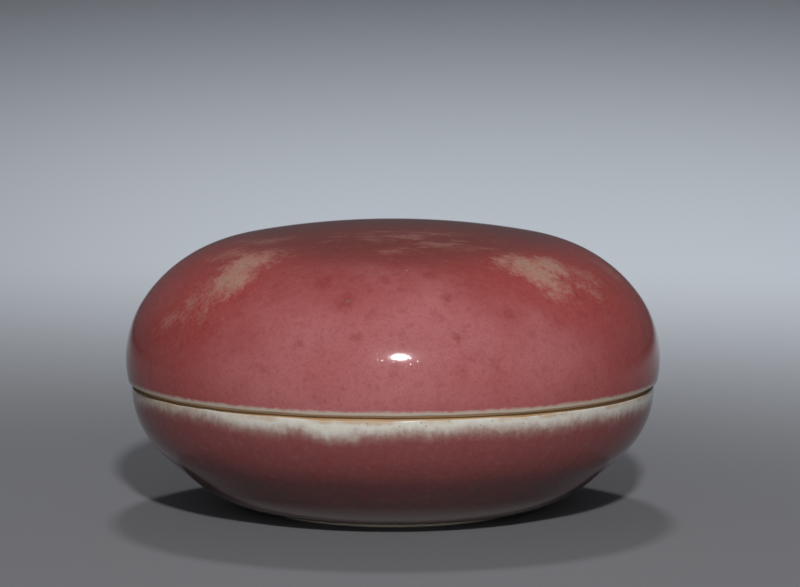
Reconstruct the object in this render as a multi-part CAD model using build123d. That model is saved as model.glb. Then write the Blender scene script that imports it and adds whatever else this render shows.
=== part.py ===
from build123d import *
import math
import os

# A seal paste box of glazed porcelain: a low domed lid that fits over an upright flange on the box, a foot
# ring that the box stands on, a coat of glaze on each side of each wall, and a mound of paste in the well.
# Millimetres and degrees, Z up. The origin is on the axis, on the surface that the foot ring stands on.
# Each section is drawn with X outwards from the axis and Y up, and then turned about the axis.

# Lid
lid_radius = 36.0
lid_height = 21.3
lid_wall = 2.8
lid_side_turn = 34.0
lid_bare_rim = 0.45
lid_bore_step = 0.6
# Shares of the lid's height: where the lid is widest, and the radius of its side
lid_widest_share = 0.155
lid_side_share = 0.643
# Share of the lid's radius: the radius of its crown
crown_share = 3.05

# Box
seat_height = 17.3
lid_overhang = 0.8
box_bare_rim = 0.55
foot_radius = 17.0
foot_lift = 0.5
# Where the side turns, as shares of the way from the foot out to the rim and up to the rim
box_side_shares = ((0.77, 0.442), (0.56, 0.243))

# Flange
flange_height = 3.2
flange_wall = 2.0
flange_clearance = 0.4

# Well
well_floor_height = 4.2
# Share of the well's depth: the radius of its corner
well_corner_share = 0.58
# Share of the lid's radius: the radius of the well's dished floor
well_floor_share = 3.6

# Foot ring
foot_ring_width = 1.7
foot_recess = 1.6

# Roundings, as shares of the bare rims, the flange's wall, the foot ring's width and the recess
rim_round_share = 0.8
flange_round_share = 0.35
foot_round_share = 0.15
recess_round_share = 0.5

# Glaze, and how far each white coat stops from the edge or the flange next to it
red_glaze = 0.35
white_glaze = 0.3
lid_bare_bore = 1.0
well_bare_edge = 1.0
recess_bare_edge = 0.6

# Paste
paste_gap = 3.4
paste_drop = 5.5
# Shares: the dome's radius of the paste's own radius, and its rounded edge of the paste's own height
paste_dome_share = 2.5
paste_edge_share = 0.62

# Heights and radii that follow from the sizes above
top_height = seat_height + lid_height
flange_top = seat_height + flange_height
lid_glaze_foot = seat_height + lid_bare_rim
box_glaze_top = seat_height - box_bare_rim
box_radius = lid_radius - lid_overhang
bore_radius = lid_radius - red_glaze - lid_wall - lid_bore_step
flange_radius = bore_radius - flange_clearance
well_radius = flange_radius - flange_wall
recess_radius = foot_radius - foot_ring_width
paste_radius = well_radius - white_glaze - paste_gap
paste_top = flange_top - paste_drop

# The lid's side and crown
lid_side_radius = lid_side_share * lid_height
lid_side_center = Vector(lid_radius - lid_side_radius, seat_height + lid_widest_share * lid_height)
crown_radius = crown_share * lid_radius
crown_center = Vector(0, top_height - crown_radius)

# The well's corner and floor
well_corner_radius = well_corner_share * (flange_top - well_floor_height)
well_floor_radius = well_floor_share * lid_radius
well_floor_center = Vector(0, well_floor_height + well_floor_radius)

# The middle of the closed box, which the inner side of every wall faces
middle = Vector(0, seat_height)
start_middle_end_shares = (0, 0.5, 1)


def turned(edges):
    """The solid that a closed section sweeps when it is turned about the axis."""
    return revolve(Plane.XZ * make_face(edges), Axis.Z)


def nested_center(outer_center, outer_radius, inner_x, inner_radius, side):
    """The centre, at a given X, of a circle that touches a larger one from within, above or below it."""
    reach = outer_radius - inner_radius
    return Vector(inner_x, outer_center.Y + side * math.sqrt(reach**2 - inner_x**2))


def direction_angle(start, end):
    """The angle, up from X, of the line from one point to another."""
    line = end - start
    return math.degrees(math.atan2(line.Y, line.X))


def moved_in(arcs, depth):
    """The same arcs, a depth further in towards the middle of the box."""
    moved = []
    for arc in arcs:
        points = []
        for share in start_middle_end_shares:
            point = arc @ share
            inward = (arc % share).rotate(Axis.Z, 90)
            if inward.dot(middle - point) < 0:
                inward = -inward
            points.append(point + inward * depth)
        moved.append(ThreePointArc(*points))
    return moved


def lid_shoulder():
    """The radius, centre and end angle of the arc that joins the lid's side to its crown."""
    inward = -Vector(1, 0).rotate(Axis.Z, lid_side_turn)
    side_end = lid_side_center - inward * lid_side_radius
    reach = side_end - crown_center
    radius = (crown_radius**2 - reach.dot(reach)) / (2 * (reach.dot(inward) + crown_radius))
    center = side_end + inward * radius
    return radius, center, direction_angle(crown_center, center)


def lid_arcs(depth, start_angle):
    """The lid's side, shoulder and crown, a depth under its surface, from an angle up to the axis."""
    radius, center, crown_angle = lid_shoulder()
    return [
        CenterArc(lid_side_center, lid_side_radius - depth, start_angle, lid_side_turn - start_angle),
        CenterArc(center, radius - depth, lid_side_turn, crown_angle - lid_side_turn),
        CenterArc(crown_center, crown_radius - depth, crown_angle, 90 - crown_angle),
    ]


def lid_outside(depth):
    """The lid's outer arcs, a depth under its surface, from the height where the red coat ends."""
    rise = lid_glaze_foot - lid_side_center.Y
    return lid_arcs(depth, math.degrees(math.asin(rise / (lid_side_radius - depth))))


def lid_inside(coat):
    """The lid's inner arcs, on the porcelain or on a coat over it, from the top of the bore."""
    depth = red_glaze + lid_wall + coat
    reach = bore_radius - coat - lid_side_center.X
    return lid_arcs(depth, math.degrees(math.acos(reach / (lid_side_radius - depth))))


def box_outside(depth):
    """The box's outer arcs, a depth under its surface, from its bare rim down to its foot."""
    foot = Vector(foot_radius, foot_lift)
    span = Vector(box_radius, box_glaze_top) - foot
    points = [foot + span]
    for out_share, up_share in box_side_shares:
        points.append(foot + Vector(span.X * out_share, span.Y * up_share))
    points.append(foot)
    arcs = []
    direction = Vector(0, -1)
    for start, end in zip(points, points[1:]):
        arcs.append(TangentArc(start, end, tangent=direction))
        direction = arcs[-1] % 1
    return moved_in(arcs, depth)


def well_arcs(coat):
    """The well's corner and floor, on the porcelain or on a coat over it, from its wall to the axis."""
    corner_x = well_radius - well_corner_radius
    center = nested_center(well_floor_center, well_floor_radius, corner_x, well_corner_radius, -1)
    turn = direction_angle(well_floor_center, center)
    return [
        CenterArc(center, well_corner_radius - coat, 0, turn),
        CenterArc(well_floor_center, well_floor_radius - coat, turn, -90 - turn),
    ]


def recess_line(coat):
    """The recess inside the foot ring, on the porcelain or on a coat over it, up to the axis."""
    side = recess_radius - coat
    ceiling = foot_recess - coat
    corner = recess_round_share * ceiling
    points = [(side, recess_bare_edge), (side, ceiling), (0, ceiling)]
    return FilletPolyline(*points, radius=(corner,))


def coat_section(upright, under, over, foot, direction):
    """A coat on a wall that stands upright from a height and then follows arcs to the axis."""
    wall = Line((upright, foot), under[0] @ 0)
    face = Line((upright - white_glaze, foot), over[0] @ 0)
    roll = TangentArc(face @ 0, wall @ 0, tangent=(0, direction))
    axis = Line(under[-1] @ 1, over[-1] @ 1)
    return [wall, *under, roll, face, *over, axis]


def lid_body():
    """The thrown lid: a dome with a straight bore and a flat rim, which rests on the box's ledge."""
    outside = lid_outside(red_glaze)
    inside = lid_inside(0)
    edge = rim_round_share * lid_bare_rim
    rim_end = outside[0] @ 0
    corners = [(bore_radius, seat_height), (rim_end.X, seat_height)]
    rim = FilletPolyline(inside[0] @ 0, *corners, rim_end, radius=(edge, edge))
    axis = Line(inside[-1] @ 1, outside[-1] @ 1)
    return turned([*outside, *inside, rim, axis])


def lid_red_glaze():
    """The red coat over the outside of the lid, with a rolled edge above the bare rim."""
    over = lid_outside(0)
    under = lid_outside(red_glaze)
    roll = TangentArc(over[0] @ 0, under[0] @ 0, tangent=-(over[0] % 0))
    axis = Line(over[-1] @ 1, under[-1] @ 1)
    return turned([*over, *under, roll, axis])


def lid_white_glaze():
    """The white coat inside the lid, with a rolled edge above the bare bore."""
    foot = flange_top + lid_bare_bore
    return turned(coat_section(bore_radius, lid_inside(0), lid_inside(white_glaze), foot, -1))


def box_body():
    """The thrown box: a bare ledge, an upright flange, the well, and a foot ring round a recess."""
    outside = box_outside(red_glaze)
    well = well_arcs(0)
    recess = recess_line(0)
    rim_start = outside[0] @ 0
    rim_edge = rim_round_share * box_bare_rim
    flange_edge = flange_round_share * flange_wall
    rim = FilletPolyline(
        rim_start,
        (rim_start.X, seat_height),
        (flange_radius, seat_height),
        (flange_radius, flange_top),
        (well_radius, flange_top),
        well[0] @ 0,
        radius=(rim_edge, 0, flange_edge, flange_edge),
    )
    foot_start = outside[-1] @ 1
    foot_edge = foot_round_share * foot_ring_width
    ring = FilletPolyline(
        foot_start,
        (foot_start.X, 0),
        (recess_radius, 0),
        recess @ 0,
        radius=(foot_edge, foot_edge),
    )
    axis = Line(well[-1] @ 1, recess @ 1)
    return turned([*outside, rim, *well, ring, recess, axis])


def box_red_glaze():
    """The red coat over the outside of the box, from a rolled edge at the rim down to the foot ring."""
    over = box_outside(0)
    under = box_outside(red_glaze)
    roll = TangentArc(over[0] @ 0, under[0] @ 0, tangent=-(over[0] % 0))
    foot = Line(over[-1] @ 1, under[-1] @ 1)
    return turned([*over, *under, roll, foot])


def box_white_glaze():
    """The white coat in the well, with a rolled edge below the flange's bare top."""
    top = flange_top - well_bare_edge
    return turned(coat_section(well_radius, well_arcs(0), well_arcs(white_glaze), top, 1))


def foot_white_glaze():
    """The white coat in the recess, with a rolled edge above the bare foot ring."""
    under = recess_line(0)
    over = recess_line(white_glaze)
    roll = TangentArc(over @ 0, under @ 0, tangent=(0, -1))
    axis = Line(under @ 1, over @ 1)
    return turned([under, over, roll, axis])


def glazed_well():
    """The hollow that the glazed well holds, up to the flange's top."""
    over = well_arcs(white_glaze)
    mouth = Vector(0, flange_top)
    wall = Line((well_radius - white_glaze, flange_top), over[0] @ 0)
    return turned([wall, *over, Line(over[-1] @ 1, mouth), Line(mouth, wall @ 0)])


def seal_paste():
    """A domed mound of paste with a round edge, which takes the shape of the glazed well under it."""
    edge_radius = paste_edge_share * (paste_top - well_floor_height - white_glaze)
    dome_radius = paste_dome_share * paste_radius
    dome_center = Vector(0, paste_top - dome_radius)
    edge_center = nested_center(dome_center, dome_radius, paste_radius - edge_radius, edge_radius, 1)
    turn = direction_angle(dome_center, edge_center)
    dome = CenterArc(dome_center, dome_radius, turn, 90 - turn)
    edge = CenterArc(edge_center, edge_radius, 0, turn)
    side = Line((paste_radius, 0), edge @ 0)
    base = Line((0, 0), side @ 0)
    axis = Line(dome @ 1, (0, 0))
    return turned([dome, edge, side, base, axis]) & glazed_well()


nodes = {
    "lid_body": lid_body(),
    "lid_red_glaze": lid_red_glaze(),
    "lid_white_glaze": lid_white_glaze(),
    "box_body": box_body(),
    "box_red_glaze": box_red_glaze(),
    "box_white_glaze": box_white_glaze(),
    "foot_white_glaze": foot_white_glaze(),
    "seal_paste": seal_paste(),
}

os.makedirs("parts", exist_ok=True)
for name, solid in nodes.items():
    export_step(solid, f"parts/{name}.step")
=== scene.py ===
import math
from collections import namedtuple

import bpy
from bpy.props import FloatProperty, FloatVectorProperty, IntProperty, PointerProperty
from mathutils import Matrix, Vector


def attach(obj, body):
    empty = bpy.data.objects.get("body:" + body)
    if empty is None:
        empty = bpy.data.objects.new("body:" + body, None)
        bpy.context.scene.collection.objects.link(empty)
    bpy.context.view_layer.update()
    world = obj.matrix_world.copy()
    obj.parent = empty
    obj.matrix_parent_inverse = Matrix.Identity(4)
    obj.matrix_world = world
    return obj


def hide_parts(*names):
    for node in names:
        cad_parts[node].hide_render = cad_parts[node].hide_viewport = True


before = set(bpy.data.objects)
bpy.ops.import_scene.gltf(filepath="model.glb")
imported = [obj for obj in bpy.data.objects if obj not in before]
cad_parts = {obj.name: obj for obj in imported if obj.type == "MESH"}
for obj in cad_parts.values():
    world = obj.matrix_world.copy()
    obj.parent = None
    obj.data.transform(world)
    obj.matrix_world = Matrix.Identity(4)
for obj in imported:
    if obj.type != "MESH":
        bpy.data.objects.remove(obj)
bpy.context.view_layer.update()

# The looks of a glazed porcelain seal paste box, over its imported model: metres, Z up, axis on Z.
# Each piece is drawn as half a section in the XZ plane and turned about the axis.
# A material measures in millimetres, so the places and widths in its tables are millimetres too.

bl_info = {
    "name": "Seal Paste Box",
    "version": (1, 0, 0),
    "blender": (4, 5, 0),
    "location": "View3D > Sidebar > Seal Box",
    "description": "A lidded porcelain box in mottled copper red glaze, with seal paste in its well",
    "category": "Add Mesh",
}

MILLIMETRES = 1000
PENCIL_STEP = 0.0008
PENCIL_TURN = math.radians(3)
MERGE_DISTANCE = 0.000001
SMOOTH_ANGLE = math.radians(35)

# The lid's curve: how far its side turns, and shares of its height and radius
LID_SIDE_TURN = math.radians(34)
LID_WIDEST_SHARE = 0.155
LID_SIDE_SHARE = 0.643
CROWN_SHARE = 3.05

# Where the side of the box turns, as shares of the way from the foot out to the rim and up to the rim
BOX_SIDE_SHARES = ((0.77, 0.442), (0.56, 0.243))

# Shares for the well, the paste and the roundings of edges
WELL_CORNER_SHARE = 0.58
WELL_FLOOR_SHARE = 3.6
PASTE_DOME_SHARE = 2.5
PASTE_EDGE_SHARE = 0.62
RIM_ROUND_SHARE = 0.8
FLANGE_ROUND_SHARE = 0.35
FOOT_ROUND_SHARE = 0.15
RECESS_ROUND_SHARE = 0.5

# Ripples in the edge of a coat are this many times wider than the band of the coat that wanders
RIPPLE_WIDTH = 8

# The paste's spiral folds: how many, how tightly they wind, and how they fade in and out
FOLD_ARMS = 3
FOLD_TWIST = 7
FOLD_EYE = 0.12
FOLD_FADE_IN = 4
FOLD_FADE_OUT = 6
FOLD_REACH = 1.04

# The one gloss of every glaze, with a faint halo round its highlights, and how rough the rest is
GLAZE_ROUGHNESS = 0.08
GLAZE = {"Specular IOR Level": 0.28, "IOR": 1.5, "Coat Weight": 0.06, "Coat Roughness": 0.25}
PORCELAIN_ROUGHNESS = 0.62
PASTE_ROUGHNESS = 0.32
FLOOR_ROUGHNESS = 0.75

# How far from the axis, in millimetres, the coordinates round the box are true to size
SIDE_RADIUS = 36

# Millimetres on the floor: the middle of its darker patch, outside the painted pool of light, and where
# that starts and stops fading
PATCH_MIDDLE = (-20, -25, 0)
PATCH_FADE = (70, 320)

# The painted pool of light on the floor behind the box, which spreads as it goes back, in millimetres
# but for the spread
POOL_ASIDE = 35
POOL_BEHIND = 340
POOL_LENGTH = 1400
POOL_WIDTH = 160
POOL_LEAST_WIDTH = 60
POOL_SPREAD = 0.38

# Buff clouds in the red glaze: each runs from one point to another, and is so wide to each side
LID_CLOUDS = (
    ((-17.2, -16.6, 35.8), (-21.0, -17.4, 34.3), 4.1),
    ((-20.8, -18.2, 34.0), (-22.4, -19.2, 32.8), 3.0),
    ((-19.8, -20.0, 33.6), (-21.2, -20.8, 32.3), 2.6),
    ((16.2, -19.3, 35.3), (18.6, -18.8, 34.9), 4.0),
    ((18.8, -19.8, 34.2), (20.7, -20.3, 33.1), 4.2),
    ((19.6, -16.8, 35.1), (22.4, -15.6, 34.3), 3.4),
    ((16.0, 20.0, 35.0), (24.0, 22.0, 30.6), 3.6),
    ((-8.0, 24.0, 35.0), (-17.0, 27.5, 30.2), 3.4),
)

# Fainter, grainy wisps of buff, in the same form
LID_WISPS = (
    ((-23.2, -18.0, 32.8), (-24.8, -20.2, 30.4), 3.6),
    ((-24.8, -20.6, 30.0), (-25.0, -22.8, 28.0), 1.8),
    ((-26.0, -17.4, 31.2), (-26.7, -19.6, 29.2), 2.4),
    ((-27.2, -19.4, 28.6), (-30.4, -16.0, 27.2), 2.0),
    ((-15.6, -7.8, 37.1), (-18.8, -6.6, 36.7), 3.4),
    ((-19.6, -12.0, 36.0), (-23.2, -10.0, 35.4), 3.2),
    ((23.4, -17.8, 33.0), (28.0, -15.2, 31.1), 2.2),
    ((23.0, -14.4, 34.3), (27.6, -12.4, 32.3), 2.4),
    ((27.8, -4.6, 33.5), (30.6, -5.6, 31.4), 3.0),
    ((-4.0, -10.6, 38.1), (7.2, -9.5, 38.0), 4.2),
    ((-1.7, -18.7, 37.0), (2.5, -18.1, 37.1), 1.8),
    ((3.0, -14.4, 37.6), (10.4, -14.8, 37.2), 2.8),
    ((24.5, 20.5, 30.8), (27.5, 21.5, 27.4), 2.6),
    ((-24.0, 10.0, 35.2), (-31.6, 8.0, 30.6), 3.0),
    ((2.0, 31.0, 31.0), (4.0, 33.6, 27.6), 2.2),
)

# Where the pale glaze under the box's rim runs further down, in the same form
BOX_DRIPS = (
    ((-9.5, -34.0, 14.8), (-5.6, -34.8, 13.8), 2.0),
    ((-33.2, -9.0, 15.2), (-32.8, -5.0, 13.9), 2.0),
    ((4.0, 34.2, 15.0), (8.2, 33.4, 13.6), 2.2),
    ((29.0, 18.0, 15.0), (30.9, 13.4, 14.0), 2.0),
)

# Where that pale glaze is thinner, in the same form. The first, at the front left, is painted shade
# that darkens the end of the pale band.
BOX_THINNINGS_AND_SHADE = (
    ((-34.0, -8.0, 15.8), (-26.5, -23.0, 15.8), 5.0),
    ((8.0, 34.0, 15.8), (19.0, 29.5, 15.8), 5.0),
)

# Where the red is pinker, in the same form. The first, across the front of the lid round the key lamp's
# highlight, is partly pink glaze and partly painted sheen of that lamp
LID_BLUSHES_AND_SHEEN = (
    ((-17.0, -31.0, 22.5), (17.0, -31.0, 22.5), 13.5),
    ((26.0, 18.0, 22.0), (12.0, 32.0, 22.0), 12.0),
    ((-32.0, 14.0, 21.0), (-22.0, 27.0, 22.0), 12.0),
)

# Spots of darker red, buff specks, and pinheads of green where copper has pooled: a point and a radius.
# The first four specks, high on the front of the lid, are painted glints.
LID_SPOTS = (
    ((-5.9, -30.2, 31.6), 1.9),
    ((14.7, -28.3, 30.4), 1.4),
    ((-4.9, -33.8, 27.5), 1.2),
    ((-11.8, -32.5, 26.7), 1.5),
    ((4.7, -25.8, 34.8), 1.5),
    ((-1.2, -27.8, 33.9), 1.6),
    ((7.0, -29.4, 32.1), 1.2),
    ((7.8, -33.1, 27.7), 1.1),
    ((-9.4, -26.6, 33.6), 1.6),
    ((-6.6, -17.5, 37.0), 1.6),
    ((-26.0, 21.0, 29.0), 1.6),
    ((12.0, 30.5, 30.4), 1.4),
    ((31.0, 12.0, 30.0), 1.4),
)
LID_SPECKS_AND_GLINTS = (
    ((-1.5, -26.3, 34.7), 0.3),
    ((-0.7, -26.1, 34.9), 0.22),
    ((1.6, -25.2, 35.3), 0.26),
    ((2.4, -25.5, 35.1), 0.2),
    ((-22.1, -25.0, 28.7), 0.28),
    ((-20.9, -25.8, 28.9), 0.24),
    ((-19.9, -22.3, 32.4), 0.3),
    ((-18.7, -23.6, 32.2), 0.26),
    ((-21.5, -22.0, 31.6), 0.3),
    ((-24.1, -23.4, 28.4), 0.24),
    ((-17.5, -24.0, 32.5), 0.22),
    ((8.0, 27.0, 33.2), 0.28),
)
LID_PINHEADS = (
    ((-5.9, -30.1, 31.9), 0.38),
    ((-24.1, -18.9, 31.7), 0.36),
    ((-20.2, -12.8, 35.8), 0.24),
    ((23.2, 21.6, 31.4), 0.26),
)

Arc = namedtuple("Arc", "center radius start end")


def length(name, description, default):
    """A length that the sidebar shows in metres."""
    shown = {"subtype": "DISTANCE", "unit": "LENGTH"}
    return FloatProperty(name=name, description=description, default=default, **shown)


def colour(name, description, default):
    """A colour that the sidebar shows as a swatch."""
    shown = {"subtype": "COLOR", "min": 0, "max": 1}
    return FloatVectorProperty(name=name, description=description, default=default, **shown)


def angle(name, description, degrees):
    """An angle that the sidebar shows in degrees."""
    shown = {"subtype": "ANGLE", "unit": "ROTATION"}
    return FloatProperty(name=name, description=description, default=math.radians(degrees), **shown)


def power(name, description, default):
    """The power of a lamp."""
    return FloatProperty(name=name, description=description, default=default, min=0, unit="POWER")


class SealBoxSizes(bpy.types.PropertyGroup):
    """Sizes of the box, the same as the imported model's."""

    lid_radius: length("Lid radius", "Radius of the lid where it is widest", 0.036)
    lid_height: length("Lid height", "Height of the lid above the ledge it rests on", 0.0213)
    lid_wall: length("Lid wall", "Thickness of the lid's porcelain", 0.0028)
    lid_bare_rim: length("Lid's bare rim", "Height of the lid's rim left without red glaze", 0.00045)
    lid_bore_step: length("Bore step", "How far the bore lies inside the lid's wall", 0.0006)
    lid_bare_bore: length("Bare bore", "Height of the bore left bare above the flange", 0.001)
    seat_height: length("Ledge height", "Height of the ledge that the lid rests on", 0.0173)
    lid_overhang: length("Lid overhang", "How far the lid stands out past the box", 0.0008)
    box_bare_rim: length("Box's bare rim", "Height of the box's rim left without glaze", 0.00055)
    foot_radius: length("Foot radius", "Outer radius of the foot ring", 0.017)
    foot_lift: length("Foot lift", "Height of the bare foot ring under the red glaze", 0.0005)
    foot_ring_width: length("Foot ring width", "Width of the ring that the box stands on", 0.0017)
    foot_recess: length("Foot recess", "Depth of the recess inside the foot ring", 0.0016)
    recess_bare_edge: length("Recess's bare edge", "Height of the recess's side left bare", 0.0006)
    flange_height: length("Flange height", "Height of the flange above the ledge", 0.0032)
    flange_wall: length("Flange wall", "Thickness of the flange", 0.002)
    flange_clearance: length("Flange clearance", "Gap between the flange and the lid's bore", 0.0004)
    well_floor_height: length("Well floor height", "Height of the middle of the well's floor", 0.0042)
    well_bare_edge: length("Well's bare edge", "Height of the flange's inner face left bare", 0.001)
    red_glaze: length("Red glaze", "Thickness of the red coat", 0.00035)
    white_glaze: length("White glaze", "Thickness of the white coat", 0.0003)
    paste_gap: length("Paste gap", "Gap between the paste and the side of the well", 0.0034)
    paste_drop: length("Paste drop", "Depth of the paste's top below the flange", 0.0055)
    paste_fold: length("Paste fold", "Depth of the folds left by stirring", 0.0009)
    glaze_waver: length("Glaze waver", "How far the edge of a coat wanders", 0.0005)
    turn_steps: IntProperty(name="Turn steps", description="Steps round a piece", default=240, min=48)


class SealBoxColours(bpy.types.PropertyGroup):
    """Colours of the glazes, the bare porcelain and the paste."""

    copper_red: colour("Copper red", "Red of the lid's side", (0.31, 0.07, 0.068))
    deep_red: colour("Deep red", "Red round the clouds, where the coat is full", (0.3, 0.046, 0.038))
    # Rose is pinker glaze, and on the front of the lid also painted sheen round the highlight
    rose_and_sheen: colour("Rose", "Pinker bloom in the red", (0.38, 0.128, 0.132))
    dark_red: colour("Dark red", "Mottling and spots in the red", (0.19, 0.024, 0.022))
    buff: colour("Buff", "Clouds where the copper has burnt away", (0.4, 0.19, 0.15))
    beige: colour("Beige", "Middles of the clouds", (0.37, 0.225, 0.16))
    green: colour("Green", "Pinheads where copper has pooled", (0.16, 0.15, 0.05))
    # Crown brown is painted shade: a darker red for the top of the lid
    crown_shade: colour("Crown brown", "Red of the lid's crown", (0.145, 0.033, 0.026))
    box_red: colour("Box red", "Red on the side of the box", (0.192, 0.057, 0.057))
    # Smoky brown is painted shade under the belly of the box
    underside_shade: colour("Smoky brown", "Red turned brown towards the foot", (0.082, 0.05, 0.047))
    # Ashy is partly greyer glaze and partly painted reflection of the lit floor
    ashy_and_reflection: colour("Ashy", "Greyer glaze just above the foot", (0.38, 0.3, 0.28))
    # Olive is the glaze at the foot, made lighter as painted light in the shade under the belly
    olive_and_light: colour("Olive", "Glaze where it gathers at the foot", (0.22, 0.2, 0.15))
    celadon: colour("Pale celadon", "Pale glaze under the box's rim", (0.62, 0.61, 0.55))
    thin_rim: colour("Thin rim", "Glaze that has run thin at the lid's edge", (0.42, 0.375, 0.3))
    milk_white: colour("Milk white", "White glaze inside", (0.72, 0.75, 0.72))
    pool_blue: colour("Pool blue", "White glaze where it gathers", (0.55, 0.64, 0.63))
    biscuit: colour("Biscuit", "Bare porcelain", (0.62, 0.55, 0.45))
    burnt_orange: colour("Burnt orange", "Bare rim of the box", (0.4, 0.23, 0.1))
    # Warm rim is the lid's bare rim, made lighter as painted light in the shaded joint
    warm_rim_and_light: colour("Warm rim", "Bare rim of the lid", (0.75, 0.45, 0.22))
    rust: colour("Rust", "Iron stains along the joint", (0.2, 0.09, 0.04))
    soot: colour("Soot", "Dirt on the bare porcelain and pits in the glaze", (0.09, 0.045, 0.025))
    vermilion: colour("Vermilion", "Seal paste", (0.6, 0.05, 0.022))
    madder: colour("Madder", "Seal paste in its folds", (0.32, 0.016, 0.012))


class SealBoxStage(bpy.types.PropertyGroup):
    """The camera, the lights and the floor."""

    camera_back: length("Camera back", "How far the camera stands in front of the box", 0.6946)
    camera_height: length("Camera height", "Height of the camera above the floor", 0.11542)
    camera_tilt: angle("Camera tilt", "How far the camera looks down", 7.087)
    camera_lens: FloatProperty(name="Lens", description="Focal length in mm", default=233.84, min=1)
    camera_shift: FloatProperty(name="Shift", description="Sideways shift of the frame", default=0.0088)
    key_distance: length("Key distance", "Distance of the key lamp from the box", 1.2)
    key_width: length("Key width", "Width of the key lamp", 0.075)
    key_height: angle("Key height", "Angle of the key lamp above the floor", 31.8)
    key_side: angle("Key side", "Angle of the key lamp to the camera's right", 3.4)
    key_power: power("Key power", "Power of the key lamp", 11.0)
    top_distance: length("Top distance", "Distance of the top lamp from the box", 0.725)
    top_width: length("Top width", "Width of the top lamp", 0.09)
    top_height: angle("Top height", "Angle of the top lamp above the floor behind the box", 62)
    top_power: power("Top power", "Power of the top lamp", 1.7)
    fill_distance: length("Fill distance", "Distance of the fill lamp from the box", 0.9)
    fill_width: length("Fill width", "Width of the fill lamp", 0.4)
    fill_height: angle("Fill height", "Angle of the fill lamp above the floor in front of the box", 9)
    fill_power: power("Fill power", "Power of the fill lamp", 1.3)
    sky: colour("Sky", "Light from all round", (0.075, 0.078, 0.085))
    floor_near: colour("Floor near", "Floor under the box", (0.19, 0.192, 0.205))
    # The floor's colour in its painted pool of light
    floor_in_light: colour("Floor far", "Floor behind the box", (0.52, 0.55, 0.59))
    floor_glow: colour("Floor glow", "Glow of the floor behind the box", (0.135, 0.15, 0.17))
    floor_radius: length("Floor radius", "Radius of the floor", 4.0)


# Sections

def turned_by(vector, turn):
    """A flat vector, turned anticlockwise."""
    return Matrix.Rotation(turn, 2) @ vector


def direction(slope):
    """The flat unit vector at an angle up from X."""
    return turned_by(Vector((1, 0)), slope)


def angle_of(vector):
    """The angle of a flat vector up from X."""
    return math.atan2(vector.y, vector.x)


def arc_through(start, end, heading):
    """The arc from one point to another that sets off in a direction, and the direction it ends in."""
    chord = end - start
    left = turned_by(heading, math.pi / 2)
    reach = chord.length_squared / (2 * chord.dot(left))
    center = start + left * reach
    first = angle_of(start - center)
    turn = 2 * math.asin(chord.length / 2 / abs(reach))
    last = first + math.copysign(turn, reach)
    return Arc(center, abs(reach), first, last), turned_by(heading, last - first)


def start_of(arc):
    """The point that an arc starts from."""
    return arc.center + direction(arc.start) * arc.radius


def end_of(arc):
    """The point that an arc ends at."""
    return arc.center + direction(arc.end) * arc.radius


def offset(arcs, depth):
    """The same arcs, with smaller radii."""
    return [arc._replace(radius=arc.radius - depth) for arc in arcs]


def backwards(arcs):
    """The same arcs, followed from the last one's end."""
    return [arc._replace(start=arc.end, end=arc.start) for arc in reversed(arcs)]


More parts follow.
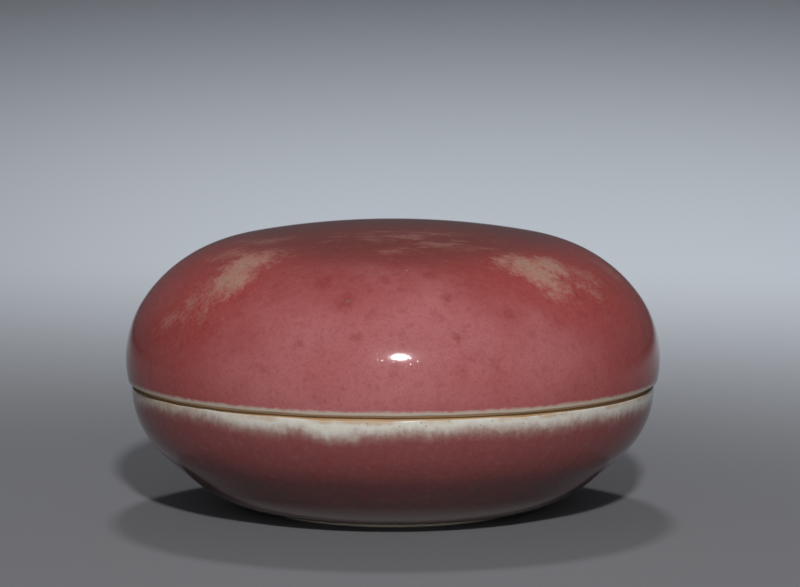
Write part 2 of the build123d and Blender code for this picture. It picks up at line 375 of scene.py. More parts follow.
class BoxShape:
    """The levels, radii and arcs that the pieces share."""

    def __init__(self, sizes):
        self.sizes = sizes
        self.top = sizes.seat_height + sizes.lid_height
        self.flange_top = sizes.seat_height + sizes.flange_height
        self.lid_glaze_foot = sizes.seat_height + sizes.lid_bare_rim
        self.box_glaze_top = sizes.seat_height - sizes.box_bare_rim
        self.bore_radius = sizes.lid_radius - sizes.red_glaze - sizes.lid_wall - sizes.lid_bore_step
        self.flange_radius = self.bore_radius - sizes.flange_clearance
        self.well_radius = self.flange_radius - sizes.flange_wall
        self.recess_radius = sizes.foot_radius - sizes.foot_ring_width
        self.paste_radius = self.well_radius - sizes.white_glaze - sizes.paste_gap
        self.paste_top = self.flange_top - sizes.paste_drop

    def lid_arcs(self):
        """The lid's crown, shoulder and side, from the axis out to its widest point."""
        sizes = self.sizes
        side_radius = LID_SIDE_SHARE * sizes.lid_height
        widest = sizes.seat_height + LID_WIDEST_SHARE * sizes.lid_height
        side = Vector((sizes.lid_radius - side_radius, widest))
        crown_radius = CROWN_SHARE * sizes.lid_radius
        crown = Vector((0, self.top - crown_radius))
        inward = -direction(LID_SIDE_TURN)
        side_end = side - inward * side_radius
        reach = side_end - crown
        radius = (crown_radius**2 - reach.length_squared) / (2 * (reach.dot(inward) + crown_radius))
        shoulder = side_end + inward * radius
        crown_angle = angle_of(shoulder - crown)
        return [
            Arc(crown, crown_radius, math.pi / 2, crown_angle),
            Arc(shoulder, radius, crown_angle, LID_SIDE_TURN),
            Arc(side, side_radius, LID_SIDE_TURN, 0),
        ]

    def lid_outside(self, depth):
        """The lid's arcs at a depth under its surface, from the axis to the edge of the red coat."""
        arcs = offset(self.lid_arcs(), depth)
        side = arcs[-1]
        edge = math.asin((self.lid_glaze_foot - side.center.y) / side.radius)
        return [*arcs[:-1], side._replace(end=edge)]

    def lid_inside(self, coat):
        """The lid's arcs on its inner side, from the axis down to the bore."""
        sizes = self.sizes
        arcs = offset(self.lid_arcs(), sizes.red_glaze + sizes.lid_wall + coat)
        side = arcs[-1]
        edge = math.acos((self.bore_radius - coat - side.center.x) / side.radius)
        return [*arcs[:-1], side._replace(end=edge)]

    def box_outside(self, depth):
        """The box's outer arcs at a depth under its surface, from its bare rim down to its foot."""
        sizes = self.sizes
        foot = Vector((sizes.foot_radius, sizes.foot_lift))
        span = Vector((sizes.lid_radius - sizes.lid_overhang, self.box_glaze_top)) - foot
        points = [foot + span]
        for out_share, up_share in BOX_SIDE_SHARES:
            points.append(foot + Vector((span.x * out_share, span.y * up_share)))
        points.append(foot)
        arcs = []
        heading = Vector((0, -1))
        for start, end in zip(points, points[1:]):
            arc, heading = arc_through(start, end, heading)
            arcs.append(arc)
        return offset(arcs, depth)

    def well_arcs(self, coat):
        """The well's floor and corner, from the axis out to its upright side."""
        sizes = self.sizes
        corner_radius = WELL_CORNER_SHARE * (self.flange_top - sizes.well_floor_height)
        floor_radius = WELL_FLOOR_SHARE * sizes.lid_radius
        floor = Vector((0, sizes.well_floor_height + floor_radius))
        corner_x = self.well_radius - corner_radius
        reach = floor_radius - corner_radius
        corner = Vector((corner_x, floor.y - math.sqrt(reach**2 - corner_x**2)))
        turn = angle_of(corner - floor)
        return [
            Arc(floor, floor_radius - coat, -math.pi / 2, turn),
            Arc(corner, corner_radius - coat, turn, 0),
        ]

    def paste_arcs(self):
        """The paste's dome and rounded edge, from the axis out to its side."""
        sizes = self.sizes
        edge_radius = PASTE_EDGE_SHARE * (self.paste_top - sizes.well_floor_height - sizes.white_glaze)
        dome_radius = PASTE_DOME_SHARE * self.paste_radius
        dome = Vector((0, self.paste_top - dome_radius))
        edge_x = self.paste_radius - edge_radius
        reach = dome_radius - edge_radius
        edge = Vector((edge_x, dome.y + math.sqrt(reach**2 - edge_x**2)))
        turn = angle_of(edge - dome)
        return [
            Arc(dome, dome_radius, math.pi / 2, turn),
            Arc(edge, edge_radius, turn, 0),
        ]


class Pen:
    """Draws a section in edit mode from a single point, and turns it about the axis."""

    def __init__(self, name, start):
        bpy.ops.object.select_all(action="DESELECT")
        bpy.ops.mesh.primitive_plane_add(size=PENCIL_STEP, location=(0, 0, 0))
        self.piece = bpy.context.object
        self.piece.name = name
        self.piece.data.name = name
        self.point = start
        bpy.ops.object.mode_set(mode="EDIT")
        bpy.ops.mesh.merge(type="CENTER")
        bpy.ops.transform.translate(value=(start.x, 0, start.y))

    def line(self, end, steps=1):
        """Draws a straight line to a point, in equal steps."""
        step = (end - self.point) / steps
        for _ in range(steps):
            bpy.ops.mesh.extrude_region_move(TRANSFORM_OT_translate={"value": (step.x, 0, step.y)})
        self.point = end

    def arc(self, center, turn):
        """Draws an arc about a centre, anticlockwise where the turn is above zero."""
        radius = (self.point - center).length
        steps = math.ceil(max(abs(turn) / PENCIL_TURN, abs(turn) * radius / PENCIL_STEP, 2))
        bpy.ops.mesh.spin(steps=steps, angle=turn, center=(center.x, 0, center.y), axis=(0, 1, 0))
        self.point = center + turned_by(self.point - center, turn)

    def follow(self, arcs):
        """Draws arcs that join end to end."""
        for arc in arcs:
            self.line(start_of(arc))
            self.arc(arc.center, arc.end - arc.start)

    def corner(self, corner, after, radius):
        """Draws a line towards a corner, and rounds it towards the point after it."""
        arriving = (corner - self.point).normalized()
        leaving = (after - corner).normalized()
        turn = -arriving.angle_signed(leaving)
        self.line(corner - arriving * radius * math.tan(abs(turn) / 2))
        side = math.copysign(math.pi / 2, turn)
        self.arc(self.point + turned_by(arriving, side) * radius, turn)

    def roll(self, end, side):
        """Draws the half circle to a point, which rolls the edge of a coat over."""
        self.arc((self.point + end) / 2, math.copysign(math.pi, side))

    def turned(self, steps):
        """Turns the section once about the axis, closes the shell and faces it outwards."""
        bpy.ops.mesh.select_all(action="SELECT")
        bpy.ops.mesh.remove_doubles(threshold=MERGE_DISTANCE)
        bpy.ops.object.mode_set(mode="OBJECT")
        wheel = self.piece.modifiers.new("wheel", "SCREW")
        wheel.steps = steps
        wheel.render_steps = steps
        wheel.use_merge_vertices = True
        wheel.merge_threshold = MERGE_DISTANCE
        bpy.ops.object.modifier_apply(modifier=wheel.name)
        bpy.ops.object.mode_set(mode="EDIT")
        bpy.ops.mesh.select_all(action="SELECT")
        bpy.ops.mesh.remove_doubles(threshold=MERGE_DISTANCE)
        bpy.ops.mesh.normals_make_consistent(inside=False)
        bpy.ops.object.mode_set(mode="OBJECT")
        bpy.ops.object.shade_smooth_by_angle(angle=SMOOTH_ANGLE)
        return self.piece


def place_piece(piece, node, body, material):
    """Puts a finished piece in the place of its node."""
    piece.data.materials.clear()
    piece.data.materials.append(material)
    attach(piece, body)
    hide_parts(node)


def waver_edge(piece, height, reach, waver):
    """Lets the edge of a coat wander up and down, as melted glaze does."""
    edge = piece.vertex_groups.new(name="edge")
    for vertex in piece.data.vertices:
        nearness = 1 - abs(vertex.co.z - height) / reach
        if nearness > 0:
            edge.add([vertex.index], nearness, "REPLACE")
    ripple = bpy.data.textures.new(f"{piece.name}_ripple", "CLOUDS")
    ripple.noise_scale = RIPPLE_WIDTH * reach
    modifier = piece.modifiers.new("waver", "DISPLACE")
    modifier.texture = ripple
    modifier.texture_coords = "LOCAL"
    modifier.direction = "Z"
    modifier.strength = waver
    modifier.mid_level = 0.5
    modifier.vertex_group = edge.name
    bpy.ops.object.modifier_apply(modifier=modifier.name)


# Materials

class Value:
    """A socket of a recipe. Sums on it add Math nodes, and a number may stand on either side."""

    def __init__(self, recipe, socket):
        self.recipe = recipe
        self.socket = socket

    def math(self, operation, first, *others):
        inputs = dict(enumerate((first, *others)))
        return self.recipe.node("ShaderNodeMath", {"operation": operation}, inputs)

    def __add__(self, other):
        return self.math("ADD", self, other)

    def __sub__(self, other):
        return self.math("SUBTRACT", self, other)

    def __mul__(self, other):
        return self.math("MULTIPLY", self, other)

    def __truediv__(self, other):
        return self.math("DIVIDE", self, other)

    def __rsub__(self, other):
        return self.math("SUBTRACT", other, self)

    def __rtruediv__(self, other):
        return self.math("DIVIDE", other, self)

    __radd__ = __add__
    __rmul__ = __mul__

    def largest(self, other):
        return self.math("MAXIMUM", self, other)

    def below(self, other):
        return self.math("LESS_THAN", self, other)


class Recipe:
    """A material built node by node over the piece's own coordinates, in millimetres."""

    def __init__(self, name):
        self.material = bpy.data.materials.new(name)
        self.material.use_nodes = True
        self.tree = self.material.node_tree
        self.tree.nodes.clear()
        metres = self.node("ShaderNodeTexCoord", {}, {}, "Object")
        self.place = self.scaled(metres, MILLIMETRES)
        self.height = self.node("ShaderNodeSeparateXYZ", {}, {0: self.place}, "Z")

    def node(self, kind, settings, inputs, output=0):
        """Adds a node, with its settings first and then the values or links of its sockets."""
        node = self.tree.nodes.new(kind)
        for name, value in settings.items():
            setattr(node, name, value)
        for name, value in inputs.items():
            socket = node.inputs[name]
            if isinstance(value, Value):
                self.tree.links.new(value.socket, socket)
            elif socket.type == "RGBA":
                socket.default_value = (*value, 1)
            else:
                socket.default_value = value
        return Value(self, node.outputs[output]) if node.outputs else None

    def vector(self, operation, first, second):
        return self.node("ShaderNodeVectorMath", {"operation": operation}, {0: first, 1: second})

    def scaled(self, vector, scale):
        return self.node("ShaderNodeVectorMath", {"operation": "SCALE"}, {0: vector, "Scale": scale})

    def length(self, vector):
        return self.node("ShaderNodeVectorMath", {"operation": "LENGTH"}, {0: vector}, "Value")

    def ease(self, value, low, high):
        """A smooth climb from 0 at one value to 1 at another."""
        limits = {"Value": value, "From Min": low, "From Max": high}
        return self.node("ShaderNodeMapRange", {"interpolation_type": "SMOOTHSTEP"}, limits)

    def mix(self, share, first, second):
        """One colour turning into another."""
        return self.node("ShaderNodeMix", {"data_type": "RGBA"}, {0: share, 6: first, 7: second}, 2)

    def noise(self, place, grain, detail=2, roughness=0.5):
        """Cloudy noise from 0 to 1 whose lumps are as wide as the grain."""
        inputs = {"Vector": place, "Scale": 1 / grain, "Detail": detail, "Roughness": roughness}
        return self.node("ShaderNodeTexNoise", {}, inputs)

    def drift(self, place, grain, reach):
        """The same places, each pushed up to half the reach to a side."""
        inputs = {"Vector": place, "Scale": 1 / grain, "Detail": 3}
        push = self.node("ShaderNodeTexNoise", {}, inputs, "Color")
        centred = self.vector("SUBTRACT", push, (0.5, 0.5, 0.5))
        return self.vector("ADD", place, self.scaled(centred, reach))

    def down_the_side(self, stretch):
        """Coordinates that run round the box and down it, drawn out along the way that glaze runs."""
        flat = self.vector("MULTIPLY", self.place, (1, 1, 0))
        around = self.node("ShaderNodeVectorMath", {"operation": "NORMALIZE"}, {0: flat})
        run = self.vector("MULTIPLY", self.place, (0, 0, 1 / stretch))
        return self.vector("ADD", self.scaled(around, SIDE_RADIUS), run)

    def radius(self):
        """Distance from the axis."""
        return self.length(self.vector("MULTIPLY", self.place, (1, 1, 0)))

    def nearness(self, place, run):
        """1 along a run from one point to another, 0 at its edge, and less outside it."""
        start, end, width = Vector(run[0]), Vector(run[1]), run[2]
        line = end - start
        inputs = {
            "Vector": place,
            "Location": (start + end) / 2,
            "Rotation": line.to_track_quat("X", "Z").to_euler(),
            "Scale": (line.length / 2 + width, width, width),
        }
        return 1 - self.length(self.node("ShaderNodeMapping", {"vector_type": "TEXTURE"}, inputs))

    def nearest(self, place, runs):
        """The nearness of the closest of several runs."""
        found = self.nearness(place, runs[0])
        for run in runs[1:]:
            found = found.largest(self.nearness(place, run))
        return found

    def flecks(self, cell, radius, share):
        """Round flecks in a share of the cells, 1 in the middle of each."""
        settings = {"feature": "F1"}
        inputs = {"Vector": self.place, "Scale": 1 / cell}
        spread = self.node("ShaderNodeTexVoronoi", settings, inputs, "Distance") * cell
        chance = self.node("ShaderNodeTexVoronoi", settings, inputs, "Color")
        pick = self.node("ShaderNodeSeparateXYZ", {}, {0: chance}, "X")
        return (1 - self.ease(spread, radius * 0.4, radius)) * pick.below(share)

    def spots(self, place, spots):
        """Soft round spots at given points."""
        found = None
        for point, radius in spots:
            reach = self.length(self.vector("SUBTRACT", place, point))
            spot = 1 - self.ease(reach, radius * 0.25, radius)
            found = spot if found is None else found.largest(spot)
        return found

    def seen(self):
        """1 for rays from the camera and for those that gloss or glass sends on, 0 for the rest."""
        camera = self.node("ShaderNodeLightPath", {}, {}, "Is Camera Ray")
        glossy = self.node("ShaderNodeLightPath", {}, {}, "Is Glossy Ray")
        transmission = self.node("ShaderNodeLightPath", {}, {}, "Is Transmission Ray")
        return camera.largest(glossy).largest(transmission)

    def bump(self, height, depth, under=None):
        """A relief of a depth in metres."""
        inputs = {"Height": height, "Strength": 1.0, "Distance": depth}
        if under is not None:
            inputs["Normal"] = under
        return self.node("ShaderNodeBump", {}, inputs)

    def finished(self, base_colour, roughness, normal, fixed):
        """Ends the recipe in one shader, whose other sockets have fixed values."""
        inputs = {"Base Color": base_colour, "Roughness": roughness, "Normal": normal, **fixed}
        surface = self.node("ShaderNodeBsdfPrincipled", {}, inputs)
        self.node("ShaderNodeOutputMaterial", {}, {"Surface": surface})
        return self.material


def glaze_relief(recipe):
    """Slow waves and pinholes in the skin of a glaze."""
    waves = recipe.noise(recipe.place, 0.45, 4, 0.65)
    pits = recipe.flecks(0.5, 0.2, 0.5)
    skin = recipe.bump(waves, 0.000006)
    return recipe.bump(1 - pits, 0.000006, skin)


def clouded(recipe, colours, tone, place, steep):
    """Red with a pink bloom, partly painted sheen, fuller red round the clouds, and clouds and grainy
    wisps of buff.
    """
    run = recipe.down_the_side(3)
    trails = (recipe.noise(run, 1.6, 4, 0.65) - 0.5) * steep
    lumps = recipe.noise(recipe.place, 1.6, 6, 0.72) - 0.5
    crumbs = recipe.noise(recipe.place, 0.5, 4, 0.65) - 0.5
    near_cloud = recipe.nearest(place, LID_CLOUDS)
    near_wisp = recipe.nearest(place, LID_WISPS)
    torn = near_cloud + lumps * 1.7 + trails * 0.7 + crumbs * 0.6
    cloud = recipe.ease(torn, -0.1, 0.7) * (0.92 + crumbs * 0.7)
    swept = recipe.noise(recipe.vector("MULTIPLY", place, (0.3, 1, 1)), 1.3, 3, 0.6) - 0.5
    grainy = near_wisp * 1.1 + (lumps * 2.0 + crumbs * 3.2) * steep + swept * (1 - steep) * 5
    wisp = recipe.ease(grainy, 0.0, 1.5) * 0.6 * (0.8 + steep * 0.2)
    halo = recipe.ease(near_cloud.largest(near_wisp), -1.5, 0.1) * (0.3 + steep * 0.7)

    # The pink bloom is partly painted sheen: across the front it stands in for the key lamp's soft
    # sheen round its highlight
    bloom_and_sheen = recipe.nearest(place, LID_BLUSHES_AND_SHEEN) + (recipe.noise(recipe.place, 10, 3) - 0.5) * 1.4
    pink = recipe.ease(bloom_and_sheen, -0.25, 0.8) * (1 - halo * 0.6)
    tone = recipe.mix(halo * 0.6, tone, colours.deep_red)
    tone = recipe.mix(pink, tone, colours.rose_and_sheen)
    warm = recipe.mix(recipe.ease(torn, 0.4, 1.1), colours.buff, colours.beige)
    return recipe.mix(cloud.largest(wisp), tone, warm)


def mottled(recipe, colours, tone):
    """The same red with soft mottling, fine grain, dark pits and a few pale specks."""
    mottle = recipe.noise(recipe.place, 2.6, 6, 0.7)
    dapple = recipe.noise(recipe.place, 0.8, 4, 0.65)
    grain = recipe.noise(recipe.place, 0.34, 3, 0.7)
    tone = recipe.mix(recipe.ease(mottle, 0.48, 0.72) * 0.3, tone, colours.dark_red)
    tone = recipe.mix(recipe.ease(dapple, 0.5, 0.75) * 0.2, tone, colours.rose_and_sheen)
    tone = recipe.mix(recipe.ease(dapple, 0.48, 0.3) * 0.22, tone, colours.dark_red)
    tone = recipe.mix(recipe.flecks(2.4, 0.42, 0.2) * 0.15, tone, colours.dark_red)
    tone = recipe.mix(recipe.flecks(1.1, 0.1, 0.28) * 0.35, tone, colours.soot)
    tone = recipe.mix(recipe.flecks(2.1, 0.1, 0.2) * 0.25, tone, colours.celadon)
    return recipe.mix(recipe.ease(grain, 0.42, 0.75) * 0.28, tone, colours.dark_red)


def lid_red_finish(shape, colours):
    """The red coat on the lid, darker on the crown as painted shade, and pale where it has run thin at
    the rim.
    """
    recipe = Recipe("lid_copper_red")
    steep = recipe.ease(recipe.radius(), 14, 34)
    place = recipe.drift(recipe.drift(recipe.place, 6, 3.4), 1.4, 1.8)
    # Painted shade: the red darkens towards the crown, the top of the lid
    full = recipe.mix(steep, colours.crown_shade, colours.copper_red)
    tone = clouded(recipe, colours, full, place, steep)
    tone = recipe.mix(recipe.spots(place, LID_SPOTS) * 0.38, tone, colours.dark_red)
    tone = mottled(recipe, colours, tone)
    # Pale specks; the first four, high on the front of the lid, are painted glints
    tone = recipe.mix(recipe.spots(place, LID_SPECKS_AND_GLINTS) * 0.5, tone, colours.beige)
    tone = recipe.mix(recipe.spots(recipe.place, LID_PINHEADS) * 0.8, tone, colours.green)
    rise = recipe.height - shape.lid_glaze_foot * MILLIMETRES
    lumps = recipe.noise(recipe.place, 1.2, 5, 0.7) - 0.5
    thin = 1 - recipe.ease(rise + lumps * 0.9, 0.1, 0.65)
    tone = recipe.mix(thin * 0.85, tone, colours.thin_rim)
    return recipe.finished(tone, GLAZE_ROUGHNESS, glaze_relief(recipe), GLAZE)


def box_red_finish(shape, colours):
    """The red coat on the box: pale and woolly under the rim, darker and browner towards the foot as
    painted shade, then paler just above the foot with painted reflection.
    """
    recipe = Recipe("box_copper_red")
    fall = shape.box_glaze_top * MILLIMETRES - recipe.height
    # Painted shade under the belly: the red turns darker and browner down towards the foot
    under_shade = recipe.ease(fall + (recipe.noise(recipe.place, 7, 3) - 0.5) * 4, 5.5, 13)
    tone = mottled(recipe, colours, recipe.mix(under_shade * 0.8, colours.box_red, colours.underside_shade))

    place = recipe.drift(recipe.place, 1.4, 1.8)
    lumps = recipe.noise(recipe.place, 0.9, 4, 0.6) - 0.5
    combed = recipe.noise(recipe.down_the_side(2.5), 0.9, 4, 0.7) - 0.5
    slow = recipe.noise(recipe.down_the_side(2.5), 6, 3, 0.6) - 0.5
    drip = recipe.ease(recipe.nearest(place, BOX_DRIPS), -0.5, 0.8)
    # Painted shade: the first thinning darkens the end of the pale band at the front left
    thinning_and_shade = recipe.ease(recipe.nearest(place, BOX_THINNINGS_AND_SHADE), -0.5, 0.5)
    level = fall + slow * 1.5 + combed * 1.0 + lumps * 1.3 - drip * 0.8 + thinning_and_shade * 0.9
    pale = 1 - recipe.ease(level, 0.3, 3.1)
    strong = 1 - recipe.ease(level, -0.1, 2.1)
    tone = recipe.mix(pale * 0.6, tone, colours.thin_rim)
    tone = recipe.mix(strong * 0.9, tone, colours.celadon)
    edge = (1 - recipe.ease(fall + lumps * 1.2 + slow, 0.0, 0.5)) * recipe.ease(slow, 0.12, -0.12)
    stain = recipe.flecks(0.7, 0.15, 0.3) * (1 - recipe.ease(fall, 0.5, 1.6))
    tone = recipe.mix(edge * 0.6, tone, colours.burnt_orange)
    tone = recipe.mix(stain * 0.7, tone, colours.rust)
    # Painted reflection: a paler, greyer band just above the foot, partly greyer glaze
    ashy_and_reflection = 1 - recipe.ease(recipe.height, 1.8, 4.6)
    tone = recipe.mix(ashy_and_reflection * 0.8, tone, colours.ashy_and_reflection)
    # Olive glaze at the foot, made lighter as painted light in the shade under the belly
    olive_and_light = 1 - recipe.ease(recipe.height, 0.9, 1.7)
    tone = recipe.mix(olive_and_light * 0.8, tone, colours.olive_and_light)
    return recipe.finished(tone, GLAZE_ROUGHNESS, glaze_relief(recipe), GLAZE)


def white_finish(name, colours, pool_height):
    """Clear white glaze, bluer where it gathers, with a few iron specks and faint wheel marks."""
    recipe = Recipe(name)
    pool = 1 - recipe.ease(recipe.height, pool_height, pool_height + 2.5)
    cloudy = recipe.noise(recipe.place, 6, 3)
    tone = recipe.mix(pool * 0.5 + cloudy * 0.35, colours.milk_white, colours.pool_blue)
    tone = recipe.mix(recipe.flecks(4.5, 0.16, 0.35) * 0.8, tone, colours.soot)
    rings = recipe.noise(recipe.vector("MULTIPLY", recipe.down_the_side(1), (0.03, 0.03, 1)), 1.2, 1)
    skin = recipe.bump(rings, 0.00004)
    waves = recipe.bump(recipe.noise(recipe.place, 1.8, 2), 0.00001, skin)
    return recipe.finished(tone, GLAZE_ROUGHNESS, waves, GLAZE)


def porcelain_finish(shape, colours, name):
    """Bare porcelain: dry and off-white, warm on the lid's rim and lightened there as painted light in
    the shaded joint, and burnt orange on the box's.
    """
    recipe = Recipe(name)
    seat = shape.sizes.seat_height * MILLIMETRES
    patchy = (recipe.noise(recipe.place, 2.2, 4, 0.65) - 0.5) * 1.1
    fine = recipe.noise(recipe.place, 0.25, 3, 0.7)
    tone = recipe.mix(recipe.ease(fine, 0.35, 0.7) * 0.25, colours.biscuit, colours.celadon)
    outer = recipe.ease(recipe.radius(), 34.0, 34.9)
    level = recipe.height - seat
    burnt = outer * recipe.ease(0.5 - level + patchy * 0.3, -0.1, 0.2)
    # The lid's bare rim is warm porcelain made lighter as painted light in the shaded crease of the
    # joint
    rims = recipe.mix(recipe.ease(level, 0.0, 0.05), colours.burnt_orange, colours.warm_rim_and_light)
    tone = recipe.mix(burnt, tone, rims)
    foot_side = 1 - recipe.ease(recipe.height, 0.3, 0.75)
    tone = recipe.mix(foot_side * recipe.ease(patchy, -0.2, 0.5) * 0.5, tone, colours.burnt_orange)
    dirt = recipe.ease(recipe.noise(recipe.place, 1.1, 4, 0.7), 0.6, 0.8)
    tone = recipe.mix(dirt * 0.35, tone, colours.soot)
    grit = recipe.bump(recipe.noise(recipe.place, 0.12, 3, 0.7), 0.00002)
    return recipe.finished(tone, PORCELAIN_ROUGHNESS, grit, {"IOR": 1.45})


def paste_finish(colours):
    """Oily vermilion paste with fine fibres, darker in its folds."""
    recipe = Recipe("seal_paste_vermilion")
    stirred = recipe.drift(recipe.place, 4, 5)
    streaks = recipe.noise(recipe.vector("MULTIPLY", stirred, (1, 1, 3)), 1.4, 4, 0.6)
    tone = recipe.mix(recipe.ease(streaks, 0.4, 0.7) * 0.6, colours.vermilion, colours.madder)
    fibres = recipe.noise(recipe.drift(recipe.place, 1.0, 2.0), 0.22, 3, 0.7)
    tone = recipe.mix(recipe.ease(fibres, 0.55, 0.8) * 0.3, tone, colours.vermilion)
    soft = recipe.bump(streaks, 0.00025)
    rough = recipe.bump(fibres, 0.00005, soft)
    fixed = {"Coat Weight": 0.35, "Coat Roughness": 0.18, "IOR": 1.5}
    return recipe.finished(tone, PASTE_ROUGHNESS, rough, fixed)


def floor_finish(stage):
    """A plain pale floor with a painted pool of light behind the box, and a painted glow there for the
    camera and for gloss only.
    """
    recipe = Recipe("pale_floor")
    reach = recipe.length(recipe.vector("SUBTRACT", recipe.place, PATCH_MIDDLE))
    aside = recipe.node("ShaderNodeSeparateXYZ", {}, {0: recipe.place}, "X") - POOL_ASIDE
    behind = recipe.node("ShaderNodeSeparateXYZ", {}, {0: recipe.place}, "Y")
    across = aside / (behind * POOL_SPREAD + POOL_WIDTH).largest(POOL_LEAST_WIDTH)
    along = (behind - POOL_BEHIND) / POOL_LENGTH
    pool = recipe.length(recipe.node("ShaderNodeCombineXYZ", {}, {0: across, 1: along}))
    # Painted light: a lighter pool on the floor behind the box, fading in away from the box
    painted_light = recipe.ease(reach, *PATCH_FADE) * (1 - recipe.ease(pool, 0.1, 1))
    tone = recipe.mix(painted_light, stage.floor_near, stage.floor_in_light)
    shine = recipe.mix(painted_light * recipe.seen(), (0, 0, 0), stage.floor_glow)
    weave = recipe.bump(recipe.noise(recipe.place, 0.5, 3, 0.7), 0.00003)
    fixed = {"Specular IOR Level": 0.2, "Emission Color": shine, "Emission Strength": 1.0}
    return recipe.finished(tone, FLOOR_ROUGHNESS, weave, fixed)


# Operators

class SEAL_BOX_OT_porcelain(bpy.types.Operator):
    """Throw the lid and the box in porcelain"""

    bl_idname = "seal_box.porcelain"
    bl_label = "Porcelain lid and box"

    def execute(self, context):
        sizes, colours = context.scene.seal_box_sizes, context.scene.seal_box_colours
        shape = BoxShape(sizes)
        material = porcelain_finish(shape, colours, "bare_porcelain")
        place_piece(self.throw_lid(shape), "lid_body", "lid", material)
        place_piece(self.throw_box(shape), "box_body", "box", material)
        return {"FINISHED"}

    def throw_lid(self, shape):
        sizes = shape.sizes
        outside = shape.lid_outside(sizes.red_glaze)
        inside = shape.lid_inside(0)
        edge = RIM_ROUND_SHARE * sizes.lid_bare_rim
        pen = Pen("lid_porcelain", Vector((0, shape.top - sizes.red_glaze)))
        pen.follow(outside)
        outer_corner = Vector((pen.point.x, sizes.seat_height))
        inner_corner = Vector((shape.bore_radius, sizes.seat_height))
        bore_top = end_of(inside[-1])
        pen.corner(outer_corner, inner_corner, edge)
        pen.corner(inner_corner, bore_top, edge)
        pen.line(bore_top, steps=6)
        pen.follow(backwards(inside))
        return pen.turned(sizes.turn_steps)

    def throw_box(self, shape):
        sizes = shape.sizes
        well = shape.well_arcs(0)
        outside = shape.box_outside(sizes.red_glaze)
        rim_edge = RIM_ROUND_SHARE * sizes.box_bare_rim
        flange_edge = FLANGE_ROUND_SHARE * sizes.flange_wall
        foot_edge = FOOT_ROUND_SHARE * sizes.foot_ring_width
        recess_edge = RECESS_ROUND_SHARE * sizes.foot_recess
        rim_x = outside[0].center.x + outside[0].radius
        ledge = Vector((shape.flange_radius, sizes.seat_height))
        pen = Pen("box_porcelain", Vector((0, sizes.well_floor_height)))
        pen.follow(well)
        flange_inside = Vector((shape.well_radius, shape.flange_top))
        flange_outside = Vector((shape.flange_radius, shape.flange_top))
        pen.corner(flange_inside, flange_outside, flange_edge)
        pen.corner(flange_outside, ledge, flange_edge)
        pen.line(ledge, steps=4)
        pen.corner(Vector((rim_x, sizes.seat_height)), Vector((rim_x, shape.box_glaze_top)), rim_edge)
        pen.follow(outside)
        foot_corner = Vector((pen.point.x, 0))
        ring_corner = Vector((shape.recess_radius, 0))
        ceiling_corner = Vector((shape.recess_radius, sizes.foot_recess))
        middle = Vector((0, sizes.foot_recess))
        pen.corner(foot_corner, ring_corner, foot_edge)
        pen.corner(ring_corner, ceiling_corner, foot_edge)
        pen.corner(ceiling_corner, middle, recess_edge)
        pen.line(middle, steps=20)
        return pen.turned(sizes.turn_steps)


class SEAL_BOX_OT_red_glaze(bpy.types.Operator):
    """Coat the outside of the lid and the box in copper red"""

    bl_idname = "seal_box.red_glaze"
    bl_label = "Copper red glaze"

    def execute(self, context):
        sizes, colours = context.scene.seal_box_sizes, context.scene.seal_box_colours
        shape = BoxShape(sizes)
        lid = self.coat_lid(shape)
        waver_edge(lid, shape.lid_glaze_foot, 2 * sizes.red_glaze, sizes.glaze_waver / 2)
        place_piece(lid, "lid_red_glaze", "lid", lid_red_finish(shape, colours))
        box = self.coat_box(shape)
        waver_edge(box, shape.box_glaze_top, 2 * sizes.red_glaze, sizes.glaze_waver)
        place_piece(box, "box_red_glaze", "box", box_red_finish(shape, colours))
        return {"FINISHED"}

    def coat_lid(self, shape):
        under = shape.lid_outside(shape.sizes.red_glaze)
        pen = Pen("lid_copper_red_glaze", Vector((0, shape.top)))
        pen.follow(shape.lid_outside(0))
        pen.roll(end_of(under[-1]), -1)
        pen.follow(backwards(under))
        return pen.turned(shape.sizes.turn_steps)

    def coat_box(self, shape):
        over = shape.box_outside(0)
        under = shape.box_outside(shape.sizes.red_glaze)
        pen = Pen("box_copper_red_glaze", start_of(over[0]))
        pen.follow(over)
        pen.roll(end_of(under[-1]), -1)
        pen.follow(backwards(under))
        pen.roll(start_of(over[0]), -1)
        return pen.turned(shape.sizes.turn_steps)


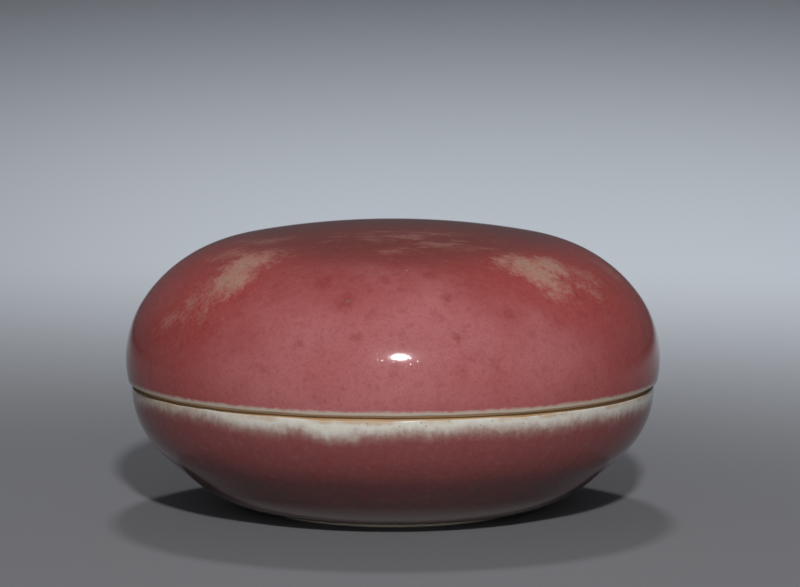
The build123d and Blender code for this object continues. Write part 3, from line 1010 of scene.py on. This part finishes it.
class SEAL_BOX_OT_white_glaze(bpy.types.Operator):
    """Coat the lid's inside, the well and the foot's recess in white"""

    bl_idname = "seal_box.white_glaze"
    bl_label = "White glaze"

    def execute(self, context):
        sizes, colours = context.scene.seal_box_sizes, context.scene.seal_box_colours
        shape = BoxShape(sizes)
        lid_foot = shape.flange_top + sizes.lid_bare_bore
        lid = self.coat("lid_white_glaze_inside", shape.lid_inside, shape.bore_radius, lid_foot, shape)
        well_top = shape.flange_top - sizes.well_bare_edge
        well = self.coat("well_white_glaze", shape.well_arcs, shape.well_radius, well_top, shape)
        lid_white = white_finish("lid_inside_white", colours, lid_foot * MILLIMETRES)
        well_white = white_finish("well_white", colours, sizes.well_floor_height * MILLIMETRES)
        place_piece(lid, "lid_white_glaze", "lid", lid_white)
        place_piece(well, "box_white_glaze", "box", well_white)
        foot_white = white_finish("foot_white", colours, 0)
        place_piece(self.coat_foot(shape), "foot_white_glaze", "box", foot_white)
        return {"FINISHED"}

    def coat(self, name, arcs, wall_radius, edge_height, shape):
        """A coat from the axis along its arcs, up or down the wall, and back under itself."""
        thickness = shape.sizes.white_glaze
        over, under = arcs(thickness), arcs(0)
        pen = Pen(name, start_of(over[0]))
        pen.follow(over)
        rising = math.copysign(1, edge_height - pen.point.y)
        pen.line(Vector((wall_radius - thickness, edge_height)), steps=4)
        pen.roll(Vector((wall_radius, edge_height)), -rising)
        pen.line(end_of(under[-1]), steps=4)
        pen.follow(backwards(under))
        return pen.turned(shape.sizes.turn_steps)

    def coat_foot(self, shape):
        sizes = shape.sizes
        thickness = sizes.white_glaze
        ceiling = sizes.foot_recess - thickness
        side = shape.recess_radius - thickness
        pen = Pen("foot_white_glaze_recess", Vector((0, ceiling)))
        side_foot = Vector((side, sizes.recess_bare_edge))
        pen.corner(Vector((side, ceiling)), side_foot, RECESS_ROUND_SHARE * ceiling)
        pen.line(side_foot)
        pen.roll(Vector((shape.recess_radius, sizes.recess_bare_edge)), 1)
        top_corner = Vector((shape.recess_radius, sizes.foot_recess))
        pen.corner(top_corner, Vector((0, sizes.foot_recess)), RECESS_ROUND_SHARE * sizes.foot_recess)
        pen.line(Vector((0, sizes.foot_recess)), steps=12)
        return pen.turned(sizes.turn_steps)


class SEAL_BOX_OT_paste(bpy.types.Operator):
    """Fill the well with stirred vermilion paste"""

    bl_idname = "seal_box.paste"
    bl_label = "Seal paste"

    def execute(self, context):
        sizes, colours = context.scene.seal_box_sizes, context.scene.seal_box_colours
        shape = BoxShape(sizes)
        paste = self.mound(shape)
        self.stir(paste, shape)
        place_piece(paste, "seal_paste", "box", paste_finish(colours))
        return {"FINISHED"}

    def mound(self, shape):
        floor = shape.well_arcs(shape.sizes.white_glaze)[0]
        reach = min(shape.paste_radius, floor.radius * math.cos(floor.end))
        rest_angle = -math.acos(reach / floor.radius)
        pen = Pen("seal_paste_mound", Vector((0, shape.paste_top)))
        pen.follow(shape.paste_arcs())
        seat = floor._replace(start=rest_angle, end=-math.pi / 2)
        pen.line(start_of(seat), steps=4)
        pen.follow([seat])
        return pen.turned(shape.sizes.turn_steps)

    def stir(self, paste, shape):
        """Presses spiral folds into the dome."""
        folds = paste.vertex_groups.new(name="folds")
        for vertex in paste.data.vertices:
            reach = math.hypot(vertex.co.x, vertex.co.y) / shape.paste_radius
            if vertex.normal.z <= 0 or reach == 0:
                continue
            turn = math.atan2(vertex.co.y, vertex.co.x)
            wave = 0.5 + 0.5 * math.sin(FOLD_ARMS * turn + FOLD_TWIST * math.log(reach + FOLD_EYE))
            fade = min(1, reach * FOLD_FADE_IN) * min(1, (FOLD_REACH - reach) * FOLD_FADE_OUT)
            folds.add([vertex.index], max(0, wave**2 * fade * vertex.normal.z), "REPLACE")
        press = paste.modifiers.new("folds", "DISPLACE")
        press.strength = -shape.sizes.paste_fold
        press.mid_level = 0
        press.vertex_group = folds.name
        bpy.ops.object.modifier_apply(modifier=press.name)


class SEAL_BOX_OT_stage(bpy.types.Operator):
    """Set up the floor, the lamps and the camera"""

    bl_idname = "seal_box.stage"
    bl_label = "Stage"

    def execute(self, context):
        stage = context.scene.seal_box_stage
        self.lay_floor(stage)
        self.set_lamps(context, stage)
        self.set_camera(context, stage)
        context.scene.view_settings.view_transform = "Standard"
        return {"FINISHED"}

    def lay_floor(self, stage):
        bpy.ops.object.select_all(action="DESELECT")
        bpy.ops.mesh.primitive_circle_add(vertices=96, radius=stage.floor_radius, fill_type="NGON")
        floor = bpy.context.object
        floor.name = "floor"
        floor.data.materials.append(floor_finish(stage))

    def add_lamp(self, name, side, height, distance, width, watts):
        """A round lamp that faces the box, at an angle to the right and another above the floor."""
        level = math.cos(height)
        toward = Vector((math.sin(side) * level, -math.cos(side) * level, math.sin(height)))
        turn = toward.to_track_quat("Z", "Y").to_euler()
        bpy.ops.object.light_add(type="AREA", location=toward * distance, rotation=turn)
        lamp = bpy.context.object
        lamp.name = name
        lamp.data.shape = "DISK"
        lamp.data.size = width
        lamp.data.energy = watts
        return lamp

    def set_lamps(self, context, stage):
        key = stage.key_side, stage.key_height, stage.key_distance, stage.key_width, stage.key_power
        top = math.pi, stage.top_height, stage.top_distance, stage.top_width, stage.top_power
        fill = 0, stage.fill_height, stage.fill_distance, stage.fill_width, stage.fill_power
        self.add_lamp("key", *key)
        self.add_lamp("top", *top).visible_glossy = False
        self.add_lamp("fill", *fill).visible_glossy = False
        world = bpy.data.worlds.new("soft_sky")
        world.use_nodes = True
        world.node_tree.nodes["Background"].inputs["Color"].default_value = (*stage.sky, 1)
        context.scene.world = world

    def set_camera(self, context, stage):
        tilt = (math.pi / 2 - stage.camera_tilt, 0, 0)
        bpy.ops.object.camera_add(location=(0, -stage.camera_back, stage.camera_height), rotation=tilt)
        camera = bpy.context.object
        camera.data.lens = stage.camera_lens
        camera.data.shift_x = stage.camera_shift
        context.scene.camera = camera


class SEAL_BOX_PT_sidebar(bpy.types.Panel):
    """Lists the pieces of the seal paste box"""

    bl_idname = "SEAL_BOX_PT_sidebar"
    bl_label = "Seal Paste Box"
    bl_space_type = "VIEW_3D"
    bl_region_type = "UI"
    bl_category = "Seal Box"

    def draw(self, context):
        for operator in OPERATORS:
            self.layout.operator(operator.bl_idname)
        for group in SETTINGS:
            settings = getattr(context.scene, group)
            for name in settings.__annotations__:
                self.layout.prop(settings, name)


SETTINGS = {
    "seal_box_sizes": SealBoxSizes,
    "seal_box_colours": SealBoxColours,
    "seal_box_stage": SealBoxStage,
}
OPERATORS = (
    SEAL_BOX_OT_porcelain,
    SEAL_BOX_OT_red_glaze,
    SEAL_BOX_OT_white_glaze,
    SEAL_BOX_OT_paste,
    SEAL_BOX_OT_stage,
)
CLASSES = (*SETTINGS.values(), *OPERATORS, SEAL_BOX_PT_sidebar)


def register():
    """Registers the classes and puts their settings on the scene."""
    for cls in CLASSES:
        bpy.utils.register_class(cls)
    for name, group in SETTINGS.items():
        setattr(bpy.types.Scene, name, PointerProperty(type=group))


def unregister():
    """Takes the settings off the scene and unregisters the classes."""
    for name in SETTINGS:
        delattr(bpy.types.Scene, name)
    for cls in reversed(CLASSES):
        bpy.utils.unregister_class(cls)


def main():
    """Builds the box and its stage."""
    register()
    bpy.ops.seal_box.porcelain()
    bpy.ops.seal_box.red_glaze()
    bpy.ops.seal_box.white_glaze()
    bpy.ops.seal_box.paste()
    bpy.ops.seal_box.stage()


if __name__ == "__main__":
    main()
